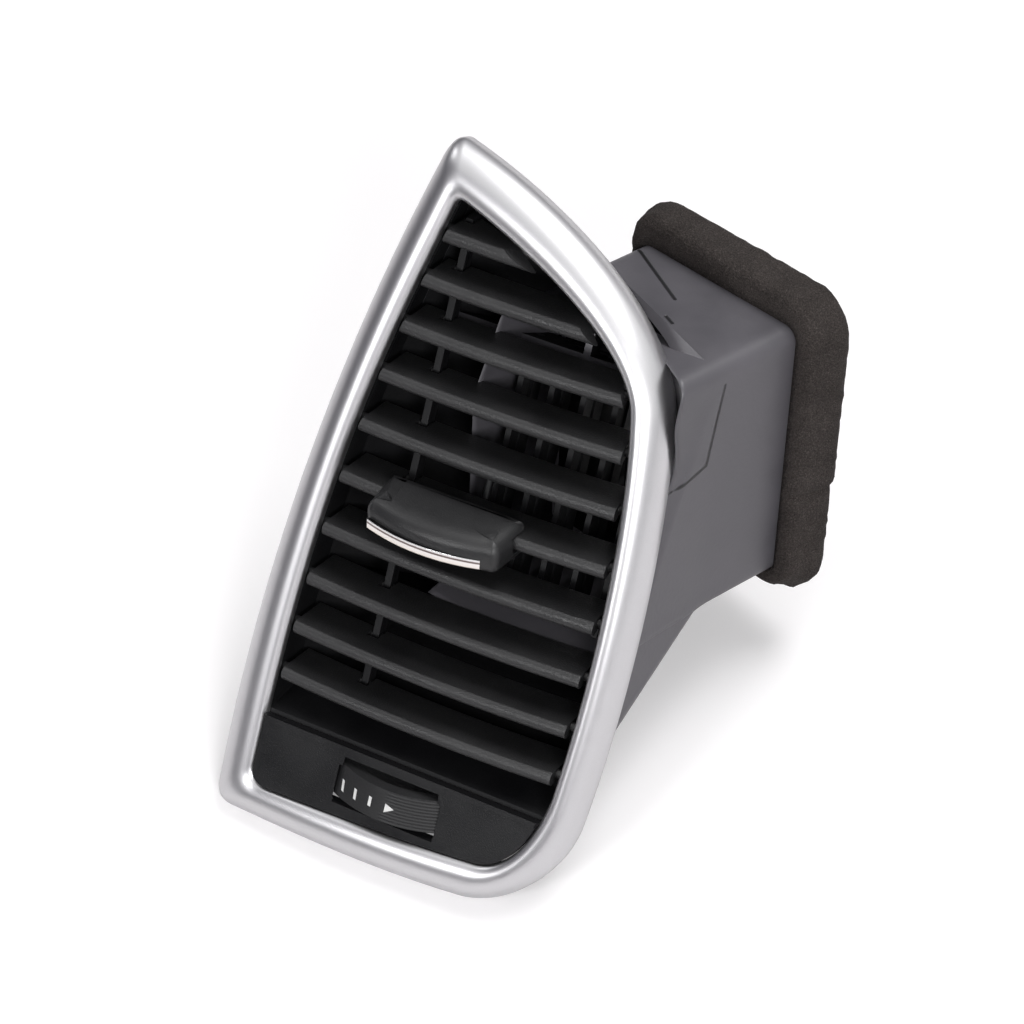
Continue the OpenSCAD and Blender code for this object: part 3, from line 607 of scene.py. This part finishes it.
def foam_section(across, up):
    """The strip's section, as height over the duct and place along it, for a side that faces across and up."""
    front = FOAM_THICK - THINNER_LEFT * max(0, -across) ** 2 - THINNER_RIGHT * max(0, across) ** 2
    front -= THINNER_BELOW * max(0, -up) ** 2
    section = [(0.0, 0.5 - FOAM_WIDE), (front * 0.35, 0.15 - FOAM_WIDE), (front - 2.4, 0.3 - FOAM_WIDE),
        (front - 1.0, 0.9 - FOAM_WIDE), (front - 0.2, SLOPE_START - FOAM_WIDE)]
    for k in range(1, SLOPE_STEPS):
        s = k / SLOPE_STEPS
        ease = s * s * (3 - 2 * s)
        section.append((front + (FOAM_THICK - front) * ease, SLOPE_START - FOAM_WIDE + SLOPE_RUN * s))
    section += [(FOAM_THICK - 0.1, -2.6), (FOAM_THICK - 0.5, -1.2), (FOAM_THICK - 1.6, -0.4),
        (FOAM_THICK - 3, -REAR_GAP), (0.0, -REAR_GAP)]
    return section


foam_loop = rounded_rectangle(DUCT_W + FOAM_CLEAR, DUCT_H + FOAM_CLEAR, DUCT_R, 8)
points = []
for x, z, across, up in foam_loop:
    for height, y in foam_section(across, up):
        if height > 1:
            p = Vector((x + across * height, y, z + up * height))
            uneven = noise.noise(p * 0.55) * 0.35 + noise.noise(p * 1.7) * 0.18
            joint = JOINT_DEEP * math.exp(-((z - JOINT_Z) / JOINT_WIDE) ** 2) if across > 0.9 else 0
            lower_end = LOWER_END_DROP if across > 0.5 and z < JOINT_Z else 0
            height -= min(max(WORN + uneven + joint + lower_end, 0.02), height - 0.1)
        points.append(duct_point(x + across * height, y + (0.15 if y < -6 else 0), z + up * height))
foam_strip = new_piece("foam_strip", points, closed_grid(len(foam_loop), len(foam_section(1, 0))),
    foam, "housing")
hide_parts("foam_seal")

# Slats: ten black plastic blades with rounded noses, cut to the slanted opening. Each turns
# on a pin at either end, and a black tie bar on their crank pins turns them together.
slat_plastic = moulding("slat_plastic", (0.016, 0.016, 0.017), (0.022, 0.022, 0.023), 0.42, 2600, 0.8,
    spec=0.6)
for i in range(1, 11):
    dress(f"slat_{i}", slat_plastic, 0.3)
dress("slat_link", black_plastic)

# Knob: a pillow of black plastic that slides on the sixth slat, with a slot for it and a
# bright strip pressed into its front. A fork behind it moves the upright vanes.
KNOB_MIDDLE_U, KNOB_FRONT_R, KNOB_FRONT = -9.5, 51, 11
KNOB_BACK_CORNER, KNOB_FRONT_CORNER = (20.9, 6.9), (19.4, -7.9)
BACK_CORNER_R, FRONT_CORNER_R, FRONT_ARC_CORNER_R = 2.4, 2.6, 0.4
FRONT_ARC_HALF, FRONT_ARC_PARTS, FRONT_ARC_BACK = 19, 16, 0.1
CORNER_STEPS = 7
PLAN_STEP = 1.2
SLAT_SET = 1.2
BACK_INSET_SHARE = 0.45
FRONT_SAG, SAG_ABOVE = 0.35, 4
# Height over the slat's lower face, and how far the layer lies inside the plan
KNOB_LAYERS = [(-3.4, 3.4), (-3.3, 2.4), (-3.0, 1.5), (-2.5, 0.8), (-1.9, 0.35), (-1.0, 0.12), (0.4, 0.02),
    (2.0, 0.0), (3.2, 0.1), (4.1, 0.38), (4.9, 0.85), (5.5, 1.5), (5.95, 2.3), (6.25, 3.3), (6.42, 4.6),
    (6.5, 6.2)]
SLOT_LOW, SLOT_HIGH = (-60, SLAT_SET - 0.5, -0.3), (40, 40, 4.3)
TRIM_LOW, TRIM_HIGH = -14.3, -11.5

knob_plastic = moulding("knob_plastic", (0.016, 0.016, 0.017), (0.020, 0.020, 0.021), 0.40, 3000, 0.45)


def round_corners(corners, radii):
    points = []
    for i, corner in enumerate(corners):
        corner = Vector(corner)
        to_last = (Vector(corners[i - 1]) - corner).normalized()
        to_next = (Vector(corners[(i + 1) % len(corners)]) - corner).normalized()
        half = to_last.angle(to_next) / 2
        along = radii[i] / math.tan(half)
        middle = corner + (to_last + to_next).normalized() * radii[i] / math.sin(half)
        start, end = corner + to_last * along - middle, corner + to_next * along - middle
        for k in range(CORNER_STEPS + 1):
            points.append(middle + start.lerp(end, k / CORNER_STEPS).normalized() * radii[i])
    return points


def divided(points, step):
    """The closed outline with its long runs divided, and without points that lie on each other."""
    result = []
    for i, here in enumerate(points):
        there = points[(i + 1) % len(points)]
        run = (there - here).length
        if run > 0.05:
            parts = max(1, round(run / step))
            result += [here.lerp(there, k / parts) for k in range(parts)]
    return result


def mirrored(corner):
    return -corner[0], corner[1]


corners = [mirrored(KNOB_BACK_CORNER), mirrored(KNOB_FRONT_CORNER)]
for k in range(1, FRONT_ARC_PARTS):
    u = FRONT_ARC_HALF * (2 * k / FRONT_ARC_PARTS - 1)
    arc = KNOB_FRONT_R - KNOB_FRONT - math.sqrt(KNOB_FRONT_R ** 2 - u * u)
    corners.append((u, arc + FRONT_ARC_BACK))
corners += [KNOB_FRONT_CORNER, KNOB_BACK_CORNER]
radii = [BACK_CORNER_R, FRONT_CORNER_R] + [FRONT_ARC_CORNER_R] * (FRONT_ARC_PARTS - 1)
radii += [FRONT_CORNER_R, BACK_CORNER_R]
plan = divided(round_corners(corners, radii), PLAN_STEP)
around = len(plan)
outward = []
for i in range(around):
    along = (plan[(i + 1) % around] - plan[i - 1]).normalized()
    outward.append(Vector((along.y, -along.x)))
points = []
for w, inset in KNOB_LAYERS:
    for p, out in zip(plan, outward):
        q = p - out * inset * (BACK_INSET_SHARE if out.y > 0.6 else 1)
        sag = FRONT_SAG * max(0, -q.y) / KNOB_FRONT if w > SAG_ABOVE else 0
        points.append(face_point(KNOB_MIDDLE_U + q.x, SLAT_SET + q.y, w - sag))
faces = []
for j in range(len(KNOB_LAYERS) - 1):
    for i in range(around):
        i2 = (i + 1) % around
        faces.append((j * around + i, j * around + i2, (j + 1) * around + i2, (j + 1) * around + i))
top = (len(KNOB_LAYERS) - 1) * around
faces.append(tuple(range(around))[::-1])
faces.append(tuple(top + i for i in range(around)))
knob_pad = new_piece("knob_pad", points, faces, knob_plastic, "knob_body")


def slot_cutter(low, high):
    """A box in the face frame, which cuts the slat's slot."""
    across, deep, tall = zip(low, high)
    corners = [face_point(u, v, w) for u in across for v in deep for w in tall]
    sides = [(0, 1, 3, 2), (4, 6, 7, 5), (0, 4, 5, 1), (2, 3, 7, 6), (0, 2, 6, 4), (1, 5, 7, 3)]
    mesh = bpy.data.meshes.new("slot_cutter")
    mesh.from_pydata(corners, [], sides)
    cutter = bpy.data.objects.new("slot_cutter", mesh)
    bpy.context.scene.collection.objects.link(cutter)
    return cutter


def cut(piece, cutter):
    """The piece's mesh less the cutter, which is then removed."""
    slot = piece.modifiers.new("cut", "BOOLEAN")
    slot.operation = "DIFFERENCE"
    slot.solver = "EXACT"
    slot.object = cutter
    bpy.context.view_layer.update()
    graph = bpy.context.evaluated_depsgraph_get()
    mesh = bpy.data.meshes.new_from_object(piece.evaluated_get(graph))
    piece.modifiers.clear()
    piece.data = mesh
    bpy.data.objects.remove(cutter)


cut(knob_pad, slot_cutter(SLOT_LOW, SLOT_HIGH))
knob_pad.data.set_sharp_from_angle(angle=math.radians(42))
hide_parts("knob")

# The strip is bright metal. Its colour is a painted reflection drawn by height: a dark band along its middle
# between light bands, and darker top and bottom edges
bright_trim, tree, principled = plain_material("bright_trim", (0.86, 0.85, 0.85), 0.12, 1.0)
place = object_place(tree)
polish = ramp(tree, noise_field(tree, place, 400), [(0.3, 0.09), (0.7, 0.16)])
tree.links.new(polish, principled.inputs["Roughness"])
parts = tree.nodes.new("ShaderNodeSeparateXYZ")
tree.links.new(place, parts.inputs["Vector"])
height = spread(tree, parts.outputs["Z"], TRIM_LOW * MM, TRIM_HIGH * MM)
# Painted reflection by height: light bands, a dark band along the middle, darker edges
painted_reflection_bands = ramp(tree, height, [(0.0, 0.10), (0.10, (0.90, 0.84, 0.78)), (0.52, (0.95, 0.92, 0.90)),
    (0.60, (0.16, 0.12, 0.11)), (0.72, (0.20, 0.16, 0.15)), (0.80, (0.86, 0.84, 0.84)), (0.97, 0.80),
    (1.0, 0.1)])
tree.links.new(painted_reflection_bands, principled.inputs["Base Color"])
dress("knob_trim", bright_trim, 0.12)
dress("knob_fork", black_plastic)

# Vanes: five upright blades of black plastic behind the slats, on pins in the funnel's
# rails. A tie bar on their cranks joins them, and the knob's fork moves the first.
for i in range(1, 6):
    dress(f"vane_{i}", black_plastic)
dress("vane_link", black_plastic)

# Thumbwheel: a sector of a wheel with a tapered rim, moulded in black plastic, on a steel
# screw. Its rim has fine grooves on the right, and three bars and a pointer printed white.
HUB_X, HUB_Y = -16.13, -86.64
RIM_MIDDLE_R, RIM_MIDDLE_Z = 34.85, -84.4
PRINT_PROUD, PRINT_THICK = 0.06, 0.05
BARS = [((-19.24, -81.66), (-18.51, -84.42)), ((-14.33, -81.59), (-13.81, -84.24)),
    ((-9.28, -81.39), (-8.95, -83.82))]
BAR_HALF, BAR_SLANT, BAR_PARTS = 0.45, 0.12, 3
POINTER = [(-4.77, -81.5), (-4.53, -83.81), (-2.2, -82.46)]
GROOVE_PITCH = 0.8 * MM
GROOVES_FADE, GROOVES_FULL = -6 * MM, -3 * MM

wheel_plastic = black_plastic.copy()
wheel_plastic.name = "wheel_plastic"
tree = wheel_plastic.node_tree
principled = tree.nodes["Principled BSDF"]
principled.inputs["Specular IOR Level"].default_value = 0.5
parts = tree.nodes.new("ShaderNodeSeparateXYZ")
tree.links.new(object_place(tree), parts.inputs["Vector"])
wave = calculate(tree, "SINE", calculate(tree, "MULTIPLY", parts.outputs["Z"], 2 * math.pi / GROOVE_PITCH))
on_right = spread(tree, parts.outputs["X"], GROOVES_FADE, GROOVES_FULL)
wheel_relief = principled.inputs["Normal"].links[0].from_socket
rim_grooves = calculate(tree, "MULTIPLY", wave, on_right)
tree.links.new(relief(tree, rim_grooves, 0.5, 0.1 * MM, wheel_relief), principled.inputs["Normal"])
dress("thumbwheel", wheel_plastic, 0.2)
dress("wheel_screw", screw_steel)

mark_print, tree, principled = plain_material("mark_print", (0.72, 0.72, 0.72), 0.5)
ink = noise_field(tree, object_place(tree), 900)
tree.links.new(ramp(tree, ink, [(0.3, (0.66, 0.66, 0.66)), (0.7, (0.76, 0.76, 0.75))]),
    principled.inputs["Base Color"])


def on_wheel_rim(x, z):
    """A point just over the wheel's tapered rim, by its place across and its height."""
    r = RIM_MIDDLE_R - (z - RIM_MIDDLE_Z) * math.tan(LEAN) + PRINT_PROUD
    return duct_point(x, HUB_Y - math.sqrt(r * r - (x - HUB_X) ** 2), z)


points, faces = [], []
for (top_x, top_z), (low_x, low_z) in BARS:
    first = len(points)
    for k in range(BAR_PARTS + 1):
        s = k / BAR_PARTS
        for side in (-BAR_HALF, BAR_HALF):
            x = top_x + (low_x - top_x) * s + side
            points.append(on_wheel_rim(x, top_z + (low_z - top_z) * s - side * BAR_SLANT))
    for k in range(BAR_PARTS):
        corner = first + 2 * k
        faces.append((corner, corner + 2, corner + 3, corner + 1))
first = len(points)
points += [on_wheel_rim(x, z) for x, z in POINTER]
faces.append((first, first + 1, first + 2))
wheel_marks = new_piece("wheel_marks", points, faces, mark_print, "thumbwheel_body",
    smooth=False)
print_layer = wheel_marks.modifiers.new("thickness", "SOLIDIFY")
print_layer.thickness = PRINT_THICK * MM
print_layer.offset = 0

# Shut-off: a rod from the thumbwheel turns two flaps in the duct. A lever sits on each
# flap's shaft under the duct, and a tie joins the levers. All are black plastic.
for name in ("damper_rod", "flap_left", "flap_right", "flap_lever_left", "flap_lever_right", "flap_link"):
    dress(name, black_plastic)

# Floor: a plain pale slope that the vent's lower edge rests on. It is seen from above
# only, so that it hides nothing from low views behind, and glows a little for the camera.
FLOOR_SLOPE = 0.40
FLOOR_EDGE = Vector((-50.7, -135.6, -106.0)) * MM
FLOOR_ACROSS = Vector((0.9537, 0.3007, 0))
FLOOR_BACK = Vector((-0.3007, 0.9537, FLOOR_SLOPE)).normalized()
FLOOR_HALF = 3.0
FLOOR_GLOW = 0.27

floor_paint, tree, principled = plain_material("floor", (0.80, 0.785, 0.795), 0.9, spec=0.1)
principled.inputs["Emission Color"].default_value = (1.0, 0.995, 1.0, 1)
sight = tree.nodes.new("ShaderNodeLightPath")
glow = calculate(tree, "MULTIPLY", sight.outputs["Is Camera Ray"], FLOOR_GLOW)
tree.links.new(glow, principled.inputs["Emission Strength"])
clear = tree.nodes.new("ShaderNodeBsdfTransparent")


def mixed_shader(tree, share, first, second):
    node = tree.nodes.new("ShaderNodeMixShader")
    tree.links.new(share, node.inputs["Fac"])
    tree.links.new(first, node.inputs[1])
    tree.links.new(second, node.inputs[2])
    return node.outputs["Shader"]


underside = tree.nodes.new("ShaderNodeNewGeometry").outputs["Backfacing"]
one_sided = mixed_shader(tree, underside, principled.outputs["BSDF"], clear.outputs["BSDF"])
tree.links.new(one_sided, tree.nodes["Material Output"].inputs["Surface"])
mesh = bpy.data.meshes.new("floor")
floor_corners = []
for across, back in ((-1, -1), (1, -1), (1, 1), (-1, 1)):
    floor_corners.append(FLOOR_EDGE + FLOOR_ACROSS * across * FLOOR_HALF + FLOOR_BACK * back * FLOOR_HALF)
mesh.from_pydata(floor_corners, [], [(0, 1, 2, 3)])
mesh.materials.append(floor_paint)
floor = bpy.data.objects.new("floor", mesh)
bpy.context.scene.collection.objects.link(floor)

# Light: a white studio for the camera, a darker room that lights the vent, a room for
# reflections that is dark low on the left, and four soft boxes aimed at the vent's middle.
STUDIO_WHITE = 0.94
ROOM_STRENGTH = 0.42
REFLECTION_SIDE = 0.55
VENT_MIDDLE = (0, -0.07, -0.02)

world = bpy.data.worlds.new("studio")
bpy.context.scene.world = world
world.use_nodes = True
tree = world.node_tree
studio = tree.nodes["Background"]
studio.inputs["Color"].default_value = (STUDIO_WHITE, STUDIO_WHITE, STUDIO_WHITE, 1)
direction = tree.nodes.new("ShaderNodeSeparateXYZ")
tree.links.new(tree.nodes.new("ShaderNodeTexCoord").outputs["Generated"], direction.inputs["Vector"])
room = tree.nodes.new("ShaderNodeBackground")
room_shade = ramp(tree, direction.outputs["Z"], [(0.0, 0.12), (0.45, 0.25), (0.62, 0.6), (1.0, 1.0)])
tree.links.new(room_shade, room.inputs["Color"])
room.inputs["Strength"].default_value = ROOM_STRENGTH
mirrored_room = tree.nodes.new("ShaderNodeBackground")
sideways = calculate(tree, "MULTIPLY_ADD", direction.outputs["X"], REFLECTION_SIDE, direction.outputs["Z"])
mirrored_shade = ramp(tree, sideways, [(0.0, (0.06, 0.06, 0.075)), (0.25, (0.16, 0.15, 0.17)),
    (0.5, (0.42, 0.42, 0.44)), (0.8, 0.9)])
tree.links.new(mirrored_shade, mirrored_room.inputs["Color"])
path = tree.nodes.new("ShaderNodeLightPath")
around_vent = mixed_shader(tree, path.outputs["Is Glossy Ray"], room.outputs["Background"],
    mirrored_room.outputs["Background"])
all_round = mixed_shader(tree, path.outputs["Is Camera Ray"], around_vent, studio.outputs["Background"])
tree.links.new(all_round, tree.nodes["World Output"].inputs["Surface"])


def soft_box(name, place, size, power):
    box = bpy.data.lights.new(name, "AREA")
    box.shape = "RECTANGLE"
    box.size, box.size_y = size
    box.energy = power
    light = bpy.data.objects.new(name, box)
    light.location = place
    light.rotation_euler = (Vector(VENT_MIDDLE) - Vector(place)).to_track_quat("-Z", "Y").to_euler()
    bpy.context.scene.collection.objects.link(light)


soft_box("key", (0.25, 0.15, 1.2), (0.7, 0.5), 9)
soft_box("right_front", (1.05, -0.75, 0.45), (0.4, 0.5), 8)
soft_box("front", (0.1, -1.3, 0.35), (0.35, 0.3), 5)
soft_box("left", (-1.0, -0.4, 0.9), (0.4, 0.5), 2)
